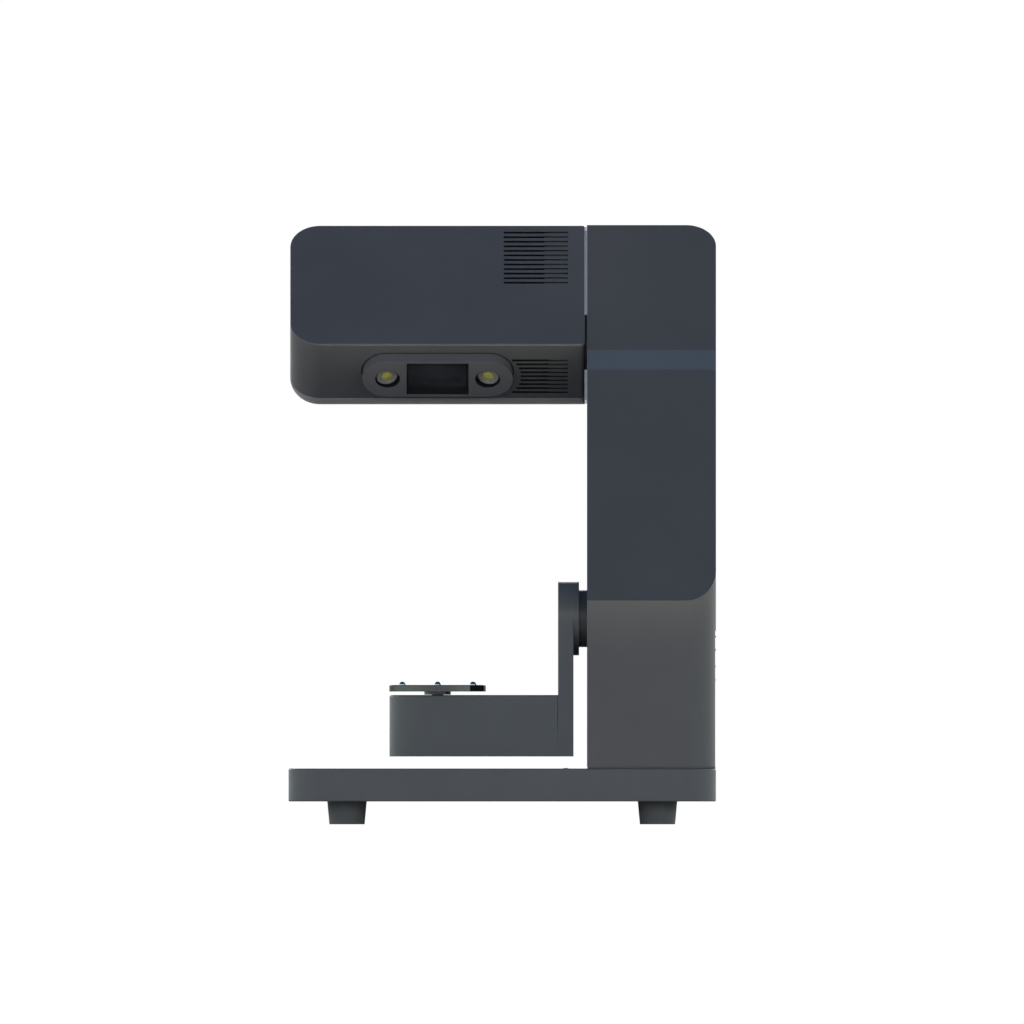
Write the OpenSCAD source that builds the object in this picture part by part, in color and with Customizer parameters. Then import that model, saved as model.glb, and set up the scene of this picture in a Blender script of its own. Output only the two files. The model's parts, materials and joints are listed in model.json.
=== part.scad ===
// Desktop structured-light scanner: a base plate, a column that leans back, a tilted camera head
// on a short neck, and an L-shaped swing arm that carries a small turntable.
// Origin: centre of the footprint at floor level. +X is the column's side, -Y is the front, +Z is up.

/* [Base] */
// Width of the base plate
base_w = 285; // [282:1:290]
// Depth of the base plate
base_d = 300; // [298:1:310]
// Thickness of the base plate
base_t = 22; // [20:1:26]
// Corner radius of the base plate and of the column's right corners
corner_r = 20; // [16:1:20]
// Height of a foot
foot_h = 15.2; // [12:0.1:20]
// Radius of a foot where it meets the base
foot_top_r = 13.15; // [12:0.05:15]
// Radius of a foot on the table
foot_floor_r = 11.75; // [10:0.05:12]
// Half the distance between the feet, side to side
foot_x = 103.5; // [95:0.5:112]
// Half the distance between the feet, front to back
foot_y = 122; // [112:0.5:125]

/* [Column] */
// Width of the column
col_w = 86; // [84:0.5:90]
// Depth of the column's upright box
box_d = 130; // [125:1:140]
// Height above the floor at which the column's front starts to lean back
lean_start = 149.2; // [148:0.2:152]
// Height of the whole scanner
total_h = 399.5; // [395:0.5:402]
// Lean of the column and tilt of the head, from the horizontal
tilt = 45; // [44:0.5:46]
// Thickness of the leaning slab
slab_t = 70; // [68:0.5:70]
// Wall of the column housings
col_wall = 3; // [2.5:0.25:3.5]
// Width of the accent band along the slope
band_w = 18.4; // [14:0.2:20]
// Distance of the band's upper edge below the head's front edge, along the slope
band_drop = 5.2; // [4:0.2:8]

/* [Head] */
// Length of the head, side to side
head_w = 196.4; // [194:0.2:198]
// Height of the head's broad face along the slope
head_len = 112.6; // [112:0.2:114]
// Thickness of the head
head_t = 64; // [62:0.5:66]
// Depth of the front cover, from the broad face to the parting line
head_split = 50.5; // [48:0.5:52]
// Radius of the head's right corners
head_small_r = 2.7; // [2:0.1:4]
// Wall of the head covers
head_wall = 2.5; // [2:0.1:2.5]
// Gap between the head and the column
neck_gap = 1.5; // [1:0.1:2]
// Radius of the neck
neck_r = 18.3; // [17:0.1:19]

/* [Optics] */
// Distance from the head's left end to the middle of the optics
optic_from_left = 98.3; // [96:0.1:100]
// Distance of the optics' centre line behind the broad face
optic_drop = 25.2; // [24:0.1:27]
// Distance between the two cameras
camera_gap = 67.2; // [66:0.2:69]
// Height by which the bezel stands proud of the wall
bezel_h = 7.5; // [6:0.1:8]
// Radius of the bezel's round ends
bezel_r = 16.5; // [16:0.1:18]
// Gap between the bezel and the wall round it
bezel_gap = 0.9; // [0.4:0.1:1.2]
// Angle by which each camera turns in
toe_in = 8.7; // [7:0.1:9]
// Width of the projector window
window_w = 40.4; // [38:0.1:41]
// Height of the projector window
window_h = 29.3; // [28:0.1:30]

/* [Arm] */
// Height of the swing axis above the floor
swing_z = 137.1; // [136:0.1:138]
// Distance of the swing axis behind the front of the base
swing_back = 33; // [32.5:0.5:34]
// Half the width of the arm, and the radius of its round ends
arm_r = 24.5; // [24:0.1:25]
// Height of the arm's underside above the floor
arm_low = 45.2; // [44:0.1:46]
// Height of the arm's turntable block
arm_block_h = 41; // [40:0.1:42]
// Thickness of the arm's post
post_t = 10.3; // [10:0.1:11]
// Distance from the swing post's outer face to the column
post_gap = 9; // [9:0.1:10]
// Length of the turntable block, from its round end to the post
block_len = 112.4; // [110:0.1:113]
// Distance from the block's round end to the turntable's axis
table_in = 32.1; // [31:0.1:34]

/* [Turntable] */
// Radius of the turntable disc
table_r = 32.3; // [30:0.1:34]
// Thickness of the turntable disc
table_t = 4.4; // [4:0.1:5]
// Height of the hub between the block and the disc
hub_h = 2.3; // [2:0.1:3]
// Radius of the hub
hub_r = 8.9; // [7:0.1:10]
// Radius of a locating ball
ball_r = 2.4; // [2:0.1:2.6]
// Radius of the circle that the balls stand on
ball_circle_r = 27.2; // [26:0.1:28]

/* [Drives] */
// Teeth on the swing gear
swing_teeth = 50; // [50:1:50]
// Teeth on the swing motor's pinion
swing_pinion_teeth = 16; // [16:1:16]
// Module of the swing gears
swing_module = 1; // [1:0.1:1]
// Teeth on the turntable gear
table_teeth = 48; // [48:1:48]
// Teeth on the turntable motor's pinion
table_pinion_teeth = 20; // [20:1:20]
// Module of the turntable gears
table_module = 0.8; // [0.8:0.1:0.8]
// Backlash between meshed teeth
backlash = 0.14; // [0.1:0.01:0.2]
// Radial clearance of a turning shaft
run_gap = 0.03; // [0.02:0.01:0.08]

/* [Ventilation] */
// Slots in the broad face
top_slots = 12; // [12:1:12]
// Distance between the slots in the broad face
top_pitch = 4.29; // [4.2:0.01:4.3]
// Slots in the lower wall
low_slots = 9; // [9:1:9]
// Distance between the slots in the lower wall
low_pitch = 3.73; // [3.6:0.01:3.75]
// Width of a slot
slot_w = 1.9; // [1.6:0.1:2]

/* [Hidden] */
$fn = 64;

// Base and column
base_top = foot_h + base_t;
front_y = -base_d / 2;
col_x1 = base_w / 2;
col_x0 = col_x1 - col_w;
seam = 1;
seam_inset = 0.3;
box_z0 = base_top + seam;
box_y1 = front_y + box_d;
pocket_x = 80;
pocket_y = 100;
pocket_h = 12;
ledge = 6;
sheet_t = 2;
foot_seat = 8;
foot_screw_r = 2;

// The leaning frame: origin at the head's front edge, y up the slope, z out of the broad face
lean_y = front_y + (total_h - lean_start) / tan(tilt) - head_len * cos(tilt);
lean_z = total_h - head_len * sin(tilt);
slab_y0 = (front_y + corner_r - lean_y) / cos(tilt);
band_y1 = -band_drop;
band_y0 = band_y1 - band_w;
band_mid = (band_y0 + band_y1) / 2;
band_t = 1;

// Service opening in the back of the box, and the opening in the back of the upper slab
service_x = [col_x0 + 12, col_x1 - corner_r - 2];
service_z = [box_z0 + 12, box_z0 + 122];
back_x = [col_x0 + 12, col_x1 - 16];
back_y = [8, head_len - 22];
cover_fit = 0.3;
cover_screw_in = 5;
lug = 16;

// Side panel with the power inlet, the data port and the power button
panel_inset = 0.5;
panel_t = 2.5;
panel_y = [front_y + corner_r - 4.4, box_y1 - corner_r + 4.4];
panel_z1 = 129;
panel_x1 = col_x1 - panel_inset;
port_y = -85;
inlet_z = 120.7;
usb_z = 100.7;
button_z = 78;
port_depth = 12.4;
port_lip = 1;
port_half_h = 4.9;
button_r = 6;
button_travel = 1.2;
button_sink = 6;
plunger_h = 3.5;

// Head
head_x1 = col_x0 - neck_gap;
head_x0 = head_x1 - head_w;
front_edge_r = 1.2;
rear_edge_r = head_t - head_split - 0.5;
neck_up = 35;
neck_in = 33;
neck_bore_r = 12;
neck_flange_r = 25;
neck_flange_t = 3.2;
neck_x0 = head_x1 - head_wall - 0.3;
frame_x0 = col_x0 + col_wall + 0.5;
frame_t = 3;

// Optics, in the frame of the lower wall: x to the right, y towards the broad face, z outwards
optic_x = head_x0 + optic_from_left;
lens_hole_r = 8.2;
barrel_r = 7.15;
barrel_sink = 2;
glass_r = 4.3;
glass_h = 1.6;
window_depth = 5.8;
window_t = 1.5;
rail_in = 37;
rail_t = 3;
camera_size = 28;
barrel_len = 17;
camera_back = barrel_len + 20;
bezel_back = head_wall + 2;

// Vents
vent_x0 = head_x0 + 142.4;
vent_split_x = head_x0 + 169.2;
vent_x1 = head_x0 + 185.2;
low_split_x = vent_split_x + 3.2;
vent_top_y = head_len - 7.1;
vent_low_in = 15.1;
vent_arc_r = 22;
blind_depth = 1;

// Fan under the broad face
fan_size = 40;
fan_t = 10;
fan_x = vent_split_x - fan_size / 2;
fan_y = 82;
fan_top = head_wall + 0.4;
fan_bore_r = 19;
fan_hub_r = 8;
fan_blades = 7;
spoke_t = 1.2;

// Arm
swing_y = front_y + swing_back;
post_x1 = col_x0 - post_gap;
post_x0 = post_x1 - post_t;
block_x0 = post_x0 - block_len;
block_z1 = arm_low + arm_block_h;
arm_wall = 2.5;
shaft_r = 6;
shaft_x0 = post_x0 + 3;
shaft_x1 = 91;
disc_t = 3.7;
recess_t = 1.2;
flange_t = post_gap - disc_t + recess_t - 0.4;
flange_r = 19;
gear_x0 = 84;
gear_t = 6;
bracket_x0 = 92;
motor_w = 35.2;
motor_len = 26;
housing_r = 14.5;
swing_gap = swing_module * (swing_teeth + swing_pinion_teeth) / 2;

// Turntable
table_x = block_x0 + table_in;
ball_seat = table_t - 0.1;
disc_z0 = block_z1 + hub_h;
spindle_r = 4;
table_gear_z = arm_low + 7.8;
table_gear_t = 6;
spindle_z0 = table_gear_z - 1;
table_gap = table_module * (table_teeth + table_pinion_teeth) / 2;
pinion_x = table_x + table_gap;
bearing_r = 11;
bearing_t = 7;
low_bearing_z = table_gear_z + 14;
high_bearing_z = low_bearing_z + 9;

// ---- shapes that repeat ----

function rot2(p, a) = [p[0] * cos(a) - p[1] * sin(a), p[0] * sin(a) + p[1] * cos(a)];

// The waste between a square corner at the origin and an arc of radius r
module corner_waste(r) {
    if (r > 0) {
        difference() {
            translate([-1, -1]) square(r + 1);
            translate([r, r]) circle(r);
        }
    }
}

// A rectangle with its own radius at each corner: front left, front right, back right, back left
module rounded_rect(x, y, r) {
    difference() {
        translate([x[0], y[0]]) square([x[1] - x[0], y[1] - y[0]]);
        translate([x[0], y[0]]) corner_waste(r[0]);
        translate([x[1], y[0]]) mirror([1, 0]) corner_waste(r[1]);
        translate([x[1], y[1]]) rotate(180) corner_waste(r[2]);
        translate([x[0], y[1]]) mirror([0, 1]) corner_waste(r[3]);
    }
}

// Section of a wall of depth r whose outer edges are rounded, e0 at the bottom and e1 at the top
module edge_section(r, z, e0, e1) {
    difference() {
        translate([0, z[0]]) square([r, z[1] - z[0]]);
        translate([r, z[0]]) mirror([1, 0]) corner_waste(e0);
        translate([r, z[1]]) rotate(180) corner_waste(e1);
    }
}

// A box with corner radius r, and with rounded bottom and top edges
module soft_box(x, y, z, r, e0, e1) {
    w = x[1] - x[0] - 2 * r;
    d = y[1] - y[0] - 2 * r;
    translate([x[0] + r, y[0] + r, z[0]]) cube([w, d, z[1] - z[0]]);
    for (side = [0, 1]) {
        translate([x[0] + r, y[side] + (side == 0 ? r : -r), 0])
            mirror([0, 1 - side, 0]) rotate([90, 0, 90]) linear_extrude(w) edge_section(r, z, e0, e1);
        translate([x[side] + (side == 0 ? r : -r), y[1] - r, 0])
            mirror([1 - side, 0, 0]) rotate([90, 0, 0]) linear_extrude(d) edge_section(r, z, e0, e1);
    }
    for (corner = [[1, 1, 0], [0, 1, 90], [0, 0, 180], [1, 0, 270]]) {
        translate([x[corner[0]] + (corner[0] == 0 ? r : -r), y[corner[1]] + (corner[1] == 0 ? r : -r), 0])
            rotate(corner[2]) rotate_extrude(angle = 90) edge_section(r, z, e0, e1);
    }
}

// A stadium of radius r whose end centres are gap apart, centred on the origin
module stadium(gap, r) {
    square([gap, 2 * r], center = true);
    for (s = [-1, 1]) translate([s * gap / 2, 0]) circle(r);
}

// A ring along +Z
module ring(outer_r, inner_r, h) {
    difference() {
        cylinder(r = outer_r, h = h);
        translate([0, 0, -1]) cylinder(r = inner_r, h = h + 2);
    }
}

// A shielded ball bearing along +Z
module bearing(outer_r, inner_r, h) {
    difference() {
        ring(outer_r, inner_r, h);
        for (z = [-1, h - 0.4]) translate([0, 0, z]) ring(outer_r - 1.2, inner_r + 1.2, 1.4);
    }
}

// A countersunk screw with a hex socket; its flat head is level with z = 0
module flush_screw(head_r, shank_r, length) {
    head_h = head_r - shank_r;
    difference() {
        union() {
            translate([0, 0, -head_h]) cylinder(r1 = shank_r, r2 = head_r, h = head_h);
            translate([0, 0, -length]) cylinder(r = shank_r, h = length - head_h);
        }
        translate([0, 0, -head_h * 0.7]) cylinder(r = head_r * 0.45, h = head_h, $fn = 6);
    }
}

// The hole that a countersunk screw sits in
module flush_hole(head_r, shank_r, length) {
    head_h = head_r - shank_r;
    translate([0, 0, -head_h]) cylinder(r1 = shank_r, r2 = head_r, h = head_h);
    translate([0, 0, -length]) cylinder(r = shank_r, h = length);
    cylinder(r = head_r, h = 1);
}

// Involute of a circle of radius rb, at the radius r
function roll(rb, r) = sqrt(max(0, r * r / (rb * rb) - 1)) * 180 / PI;
function inv_angle(rb, r) = roll(rb, r) - atan(roll(rb, r) * PI / 180);

// Outline of one flank as [radius, half angle of the tooth there], from root to tip
function flank(m, z, steps) =
    let (
        rp = m * z / 2,
        rb = rp * cos(20),
        rf = rp - 1.2 * m,
        ra = rp + 0.9 * m,
        r0 = max(rb, rf),
        half = 90 / z - backlash / (2 * rp) * 180 / PI + inv_angle(rb, rp)
    )
    concat(
        [[rf, half - inv_angle(rb, r0)]],
        [for (k = [0:steps]) let (r = r0 + (ra - r0) * k / steps) [r, half - inv_angle(rb, r)]]
    );

// A spur gear along +Z with a tooth centred on +X
module spur_gear(m, z, h) {
    f = flank(m, z, 3);
    n = len(f);
    points = [
        for (i = [0:z - 1]) let (a = i * 360 / z) each concat(
            [for (k = [0:n - 1]) rot2([f[k][0], 0], a - f[k][1])],
            [for (k = [n - 1:-1:0]) rot2([f[k][0], 0], a + f[k][1])]
        )
    ];
    linear_extrude(h) polygon(points);
}

// ---- frames of reference ----

module leaning() {
    translate([0, lean_y, lean_z]) rotate([tilt, 0, 0]) children();
}

module on_lower_wall() {
    leaning() translate([optic_x, 0, -optic_drop]) rotate([90, 0, 0]) children();
}

// side is -1 for the left camera and 1 for the right one
module on_camera(side) {
    on_lower_wall() translate([side * camera_gap / 2, 0, bezel_h - barrel_sink])
        rotate([0, -side * toe_in, 0]) children();
}

module on_swing_axis() {
    translate([0, swing_y, swing_z]) rotate([0, 90, 0]) children();
}

module on_motor_axis() {
    translate([0, swing_y + swing_gap, swing_z]) rotate([0, 90, 0]) children();
}

module under_slope(depth) {
    intersection() {
        children();
        leaning() translate([-500, -600, -600 - depth]) cube([1000, 1200, 600]);
    }
}

// ---- base ----

base_cover_spots = [for (sx = [-1, 1], sy = [-1, 1]) [sx * (pocket_x + 1), sy * (pocket_y + 1), foot_h]];
foot_spots = [for (sy = [-1, 1], sx = [-1, 1]) [sx * foot_x, sy * foot_y, 0]];

module base_plate() {
    color([0.20, 0.22, 0.23])
    difference() {
        soft_box([-base_w / 2, base_w / 2], [-base_d / 2, base_d / 2], [foot_h, base_top],
            corner_r, 0.8, 1);
        translate([0, 0, foot_h - 1]) linear_extrude(sheet_t + 1)
            rounded_rect([-pocket_x - ledge, pocket_x + ledge], [-pocket_y - ledge, pocket_y + ledge],
                [8, 8, 8, 8]);
        translate([0, 0, foot_h]) linear_extrude(sheet_t + pocket_h)
            rounded_rect([-pocket_x, pocket_x], [-pocket_y, pocket_y], [8, 8, 8, 8]);
        for (p = base_cover_spots) translate(p) cylinder(r = 1.5, h = 9);
        for (p = foot_spots) translate([p[0], p[1], foot_h - 1]) cylinder(r = foot_screw_r, h = 12);
        translate([(post_x0 + post_x1) / 2, swing_y, base_top - 4]) cylinder(r = 1.6, h = 5);
    }
}

module base_bottom_cover() {
    fit = pocket_x + ledge - cover_fit;
    color([0.16, 0.17, 0.18])
    difference() {
        translate([0, 0, foot_h]) linear_extrude(sheet_t)
            rounded_rect([-fit, fit], [-pocket_y - ledge + cover_fit, pocket_y + ledge - cover_fit],
                [8, 8, 8, 8]);
        for (p = base_cover_spots) translate(p) mirror([0, 0, 1]) flush_hole(2.8, 1.5, 9);
    }
}

module base_screws() {
    color([0.55, 0.56, 0.58]) {
        for (p = base_cover_spots) translate(p) mirror([0, 0, 1]) flush_screw(2.8, 1.5, 9);
        for (p = foot_spots) translate([p[0], p[1], foot_seat - 3.5]) {
            difference() {
                cylinder(r = 3.8, h = 3.5);
                translate([0, 0, -1]) cylinder(r = 1.9, h = 3, $fn = 6);
            }
            translate([0, 0, 3.5]) cylinder(r = foot_screw_r, h = foot_h - foot_seat + 10);
        }
    }
}

module home_sensor() {
    color([0.08, 0.08, 0.09])
    translate([(post_x0 + post_x1) / 2, swing_y, base_top - 4]) cylinder(r = 1.6, h = 4.3);
}

module foot(sx, sy) {
    color([0.12, 0.13, 0.13])
    translate([sx * foot_x, sy * foot_y, 0])
    difference() {
        cylinder(r1 = foot_floor_r, r2 = foot_top_r, h = foot_h);
        translate([0, 0, -1]) cylinder(r = 5, h = foot_seat + 1);
        cylinder(r = foot_screw_r, h = foot_h + 1);
    }
}

module foot_front_left() { foot(-1, -1); }
module foot_front_right() { foot(1, -1); }
module foot_rear_left() { foot(-1, 1); }
module foot_rear_right() { foot(1, 1); }

// ---- column ----

// Step from the low (0) or high (1) edge of a cover to its screws
function inward(side) = side == 0 ? cover_screw_in : -cover_screw_in;

// Plan of the upright box, drawn in by an inset
module box_plan(inset) {
    r = corner_r - inset;
    rounded_rect([col_x0 + inset, col_x1 - inset], [front_y + inset, box_y1 - inset], [0, r, r, 0]);
}

// Outline of the upper slab on its broad face, drawn in by an inset
module slab_plan(inset, y0) {
    rounded_rect([col_x0 + inset, col_x1 - inset], [y0, head_len - inset], [0, 0, corner_r - inset, 0]);
}

module column_gasket() {
    color([0.06, 0.06, 0.06])
    translate([0, 0, base_top]) linear_extrude(seam)
    difference() {
        box_plan(seam_inset);
        box_plan(col_wall);
    }
}

module column_lower_housing() {
    color([0.24, 0.26, 0.28])
    difference() {
        union() {
            under_slope(0) translate([0, 0, box_z0]) linear_extrude(300) box_plan(0);
            leaning() translate([col_x0, slab_y0, -slab_t]) cube([col_w, band_y0 - slab_y0, slab_t]);
            leaning() translate([col_x0 + band_t, slab_y0, -slab_t + band_t])
                cube([col_w - 2 * band_t, band_mid - slab_y0, slab_t - 2 * band_t]);
        }
        under_slope(col_wall) translate([0, 0, box_z0 - 1]) linear_extrude(301) box_plan(col_wall);
        leaning() translate([col_x0 + col_wall, slab_y0, -slab_t + col_wall])
            cube([col_w - 2 * col_wall, 300, slab_t - 2 * col_wall]);
        service_opening();
        translate([col_x1 - col_wall, panel_y[0], box_z0 - 1])
            cube([col_wall + 1, panel_y[1] - panel_y[0], panel_z1 - box_z0 + 1]);
        on_swing_axis() translate([0, 0, col_x0 - 1]) cylinder(r = shaft_r + 1, h = col_wall + 2);
        on_swing_axis() translate([0, 0, col_x0 - 1]) cylinder(r = flange_r + 0.4, h = recess_t + 1);
    }
    color([0.24, 0.26, 0.28])
    difference() {
        for (x = service_x, z = service_z)
            translate([x - lug / 2, box_y1 - 2 * col_wall, z - lug / 2]) cube([lug, col_wall, lug]);
        for (p = service_spots) translate(p) rotate([-90, 0, 0]) cylinder(r = 1.5, h = 30, center = true);
    }
}

module service_opening() {
    translate([service_x[0], box_y1 - col_wall - 1, service_z[0]])
        cube([service_x[1] - service_x[0], col_wall + 2, service_z[1] - service_z[0]]);
}

service_spots = [for (i = [0, 1], j = [0, 1])
    [service_x[i] + inward(i), box_y1, service_z[j] + inward(j)]];
back_spots = [for (i = [0, 1], j = [0, 1])
    [back_x[i] + inward(i), back_y[j] + inward(j), -slab_t]];

module column_service_cover() {
    rows = 9;
    color([0.22, 0.24, 0.26])
    difference() {
        translate([service_x[0] + cover_fit, box_y1 - col_wall, service_z[0] + cover_fit])
            cube([service_x[1] - service_x[0] - 2 * cover_fit, col_wall,
                service_z[1] - service_z[0] - 2 * cover_fit]);
        for (p = service_spots) translate(p) rotate([-90, 0, 0]) flush_hole(2.8, 1.5, 8);
        for (i = [0:rows - 1])
            translate([(service_x[0] + service_x[1]) / 2, box_y1, service_z[0] + 62 + 4.5 * i])
                rotate([90, 0, 0]) linear_extrude(10, center = true) stadium(34, slot_w / 2);
    }
}

// Hole for the neck, through a wall that starts at x
module neck_hole(x, wall) {
    translate([x - 1, neck_up, -neck_in]) rotate([0, 90, 0]) cylinder(r = neck_r + 0.4, h = wall + 2);
}

module column_upper_housing() {
    color([0.24, 0.26, 0.28])
    leaning()
    difference() {
        union() {
            translate([0, 0, -slab_t]) linear_extrude(slab_t) slab_plan(0, band_y1);
            translate([0, 0, -slab_t + band_t]) linear_extrude(slab_t - 2 * band_t)
                slab_plan(band_t, band_mid);
        }
        translate([0, 0, -slab_t + col_wall]) linear_extrude(slab_t - 2 * col_wall)
            slab_plan(col_wall, band_y0);
        translate([back_x[0], back_y[0], -slab_t - 1])
            cube([back_x[1] - back_x[0], back_y[1] - back_y[0], col_wall + 2]);
        neck_hole(col_x0, col_wall);
    }
    color([0.24, 0.26, 0.28])
    leaning()
    difference() {
        for (x = back_x, y = back_y) translate([x - lug / 2, y - lug / 2, -slab_t + col_wall])
            cube([lug, lug, col_wall]);
        for (p = back_spots) translate(p) cylinder(r = 1.5, h = 30, center = true);
    }
}

module column_back_panel() {
    rows = 10;
    color([0.22, 0.24, 0.26])
    leaning()
    difference() {
        translate([back_x[0] + cover_fit, back_y[0] + cover_fit, -slab_t])
            cube([back_x[1] - back_x[0] - 2 * cover_fit, back_y[1] - back_y[0] - 2 * cover_fit, col_wall]);
        for (p = back_spots) translate(p) mirror([0, 0, 1]) flush_hole(2.8, 1.5, 8);
        for (i = [0:rows - 1]) translate([(back_x[0] + back_x[1]) / 2, back_y[0] + 24 + 4.5 * i, -slab_t])
            linear_extrude(10, center = true) stadium(34, slot_w / 2);
    }
}

module column_screws() {
    color([0.55, 0.56, 0.58]) {
        for (p = service_spots) translate(p) rotate([-90, 0, 0]) flush_screw(2.8, 1.5, 6);
        leaning() for (p = back_spots) translate(p) mirror([0, 0, 1]) flush_screw(2.8, 1.5, 6);
    }
}

module accent_band() {
    color([0.24, 0.29, 0.35])
    leaning()
    difference() {
        translate([col_x0, band_y0, -slab_t]) cube([col_w, band_w, slab_t]);
        translate([col_x0 + band_t, band_y0 - 1, -slab_t + band_t])
            cube([col_w - 2 * band_t, band_w + 2, slab_t - 2 * band_t]);
    }
}

// ---- side panel ----

panel_screw_spots = [
    for (y = [panel_y[0] + 6, panel_y[1] - 6], z = [box_z0 + 6, panel_z1 - 6]) [panel_x1, y, z]
];

module side_panel() {
    color([0.20, 0.22, 0.23])
    difference() {
        translate([panel_x1 - panel_t, panel_y[0] + 0.1, box_z0])
            cube([panel_t, panel_y[1] - panel_y[0] - 0.2, panel_z1 - box_z0 - 0.2]);
        for (p = panel_screw_spots) translate(p) rotate([0, 90, 0]) flush_hole(2.4, 1.25, 8);
        for (port = [[inlet_z, 4.6], [usb_z, 6.1]])
            translate([panel_x1 - 5, port_y - port[1], port[0] - port_half_h - 0.1])
                cube([10, 2 * port[1], 2 * port_half_h + 0.2]);
        translate([panel_x1 - 5, port_y, button_z]) rotate([0, 90, 0]) cylinder(r = button_r + 1.6, h = 10);
    }
}

module side_panel_screws() {
    color([0.55, 0.56, 0.58])
    for (p = panel_screw_spots) translate(p) rotate([0, 90, 0]) flush_screw(2.4, 1.25, 6);
}

// Body of a port with a thin lip above and below its mouth
module port_body(z, half_w) {
    translate([panel_x1 - port_depth, port_y - half_w, z - port_half_h])
        cube([port_depth, 2 * half_w, 2 * port_half_h]);
    for (s = [-1, 1])
        translate([panel_x1, port_y - half_w, z + s * (port_half_h - port_lip / 2) - port_lip / 2])
        cube([panel_inset, 2 * half_w, port_lip]);
}

module dc_inlet() {
    color([0.06, 0.06, 0.07])
    difference() {
        port_body(inlet_z, 4.5);
        translate([panel_x1 - 10, port_y, inlet_z]) rotate([0, 90, 0]) ring(3.7, 1, 4.5);
        translate([panel_x1 - 5.5, port_y, inlet_z]) rotate([0, 90, 0]) cylinder(r = 3.7, h = 8);
    }
}

module usb_port() {
    mouth = [9.5, 8.4, 7.7];
    tongue = [4.5, 5.6, 3.2];
    color([0.62, 0.63, 0.65])
    difference() {
        port_body(usb_z, 6);
        difference() {
            translate([panel_x1 - mouth[0], port_y - mouth[1] / 2, usb_z - mouth[2] / 2])
                cube([mouth[0] + 2, mouth[1], mouth[2]]);
            translate([panel_x1 - mouth[0], port_y - tongue[1] / 2, usb_z - tongue[2] / 2]) cube(tongue);
        }
    }
}

module power_switch() {
    color([0.10, 0.10, 0.11])
    translate([panel_x1 - port_depth, port_y, button_z]) rotate([0, 90, 0])
    difference() {
        cylinder(r = button_r + 1.5, h = port_depth);
        translate([0, 0, port_depth - button_sink - button_travel - 0.4])
            cylinder(r = button_r + 0.15, h = port_depth);
        translate([0, 0, port_depth - button_sink - plunger_h - button_travel - 0.4])
            cylinder(r = 2.1, h = 8);
    }
}

module power_button() {
    color([0.70, 0.72, 0.74])
    translate([panel_x1 - button_sink, port_y, button_z]) rotate([0, 90, 0]) {
        difference() {
            cylinder(r = button_r, h = button_sink - 0.2);
            translate([0, 0, button_sink - 0.8]) ring(3.4, 2.8, 2);
        }
        translate([0, 0, -plunger_h]) cylinder(r = 2, h = plunger_h);
    }
}

module control_board() {
    board_x = panel_x1 - port_depth - 1.6;
    color([0.05, 0.30, 0.18]) {
        translate([board_x, -132, box_z0 + 4]) cube([1.6, 94, 86]);
        for (chip = [[-126, 52, 14, 14], [-106, 50, 10, 20], [-66, 60, 16, 12], [-62, 84, 12, 10]])
            translate([board_x - 2.4, chip[0], chip[1]]) cube([2.4, chip[2], chip[3]]);
        for (i = [0:3]) translate([board_x - 8, -120 + 9 * i, 100]) rotate([0, 90, 0])
            cylinder(r = 3.2, h = 8);
    }
}

// ---- frame and swing drive inside the column ----

module column_frame() {
    low_end = -215;
    high_end = 62;
    depth = [10, 56];
    color([0.60, 0.61, 0.63])
    difference() {
        union() {
            translate([frame_x0, front_y + 12, base_top]) cube([frame_t, 95, 110]);
            translate([frame_x0, front_y + 12, base_top]) cube([22, 95, frame_t]);
            leaning() translate([frame_x0, low_end, -depth[1]])
                cube([frame_t, high_end - low_end, depth[1] - depth[0]]);
        }
        on_swing_axis() translate([0, 0, frame_x0 - 1]) cylinder(r = shaft_r + 2, h = frame_t + 2);
        leaning() translate([frame_x0 - 1, neck_up, -neck_in]) rotate([0, 90, 0])
            cylinder(r = neck_bore_r, h = frame_t + 2);
        for (y = [-120, -75]) translate([frame_x0 + 14, y, base_top - 1])
            cylinder(r = 2.2, h = frame_t + 2);
    }
}

module swing_bearing_housing() {
    x0 = frame_x0 + frame_t;
    color([0.66, 0.67, 0.69])
    on_swing_axis() translate([0, 0, x0])
    difference() {
        union() {
            cylinder(r = 20, h = 3);
            cylinder(r = housing_r, h = 20);
        }
        translate([0, 0, -1]) cylinder(r = shaft_r + 2, h = 22);
        for (z = [-1, 13.5]) translate([0, 0, z]) cylinder(r = 12, h = 7.5);
        for (a = [45:90:315]) rotate(a) translate([17.2, 0, -1]) cylinder(r = 1.4, h = 5);
    }
}

module swing_bearings() {
    x0 = frame_x0 + frame_t;
    color([0.75, 0.76, 0.78])
    for (x = [x0 + 0.4, x0 + 13.6]) on_swing_axis() translate([0, 0, x]) bearing(12, shaft_r + run_gap, 6);
}

module drive_bracket() {
    color([0.60, 0.61, 0.63])
    difference() {
        union() {
            translate([bracket_x0, -128, base_top]) cube([3, 68, 120]);
            translate([bracket_x0, -128, base_top]) cube([26, 68, 3]);
        }
        on_motor_axis() translate([0, 0, bracket_x0 - 1]) cylinder(r = 11.1, h = 5);
        for (y = [-118, -70]) translate([bracket_x0 + 16, y, base_top - 1]) cylinder(r = 2.2, h = 5);
    }
}

module swing_motor() {
    color([0.14, 0.14, 0.15])
    difference() {
        union() {
            on_motor_axis() translate([-motor_w / 2, -motor_w / 2, bracket_x0 + 3])
                cube([motor_w, motor_w, motor_len]);
            on_motor_axis() translate([0, 0, bracket_x0 + 1]) cylinder(r = 11, h = 3);
        }
        on_motor_axis() translate([0, 0, bracket_x0]) cylinder(r = 2.5 + run_gap, h = 14);
    }
}

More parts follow.
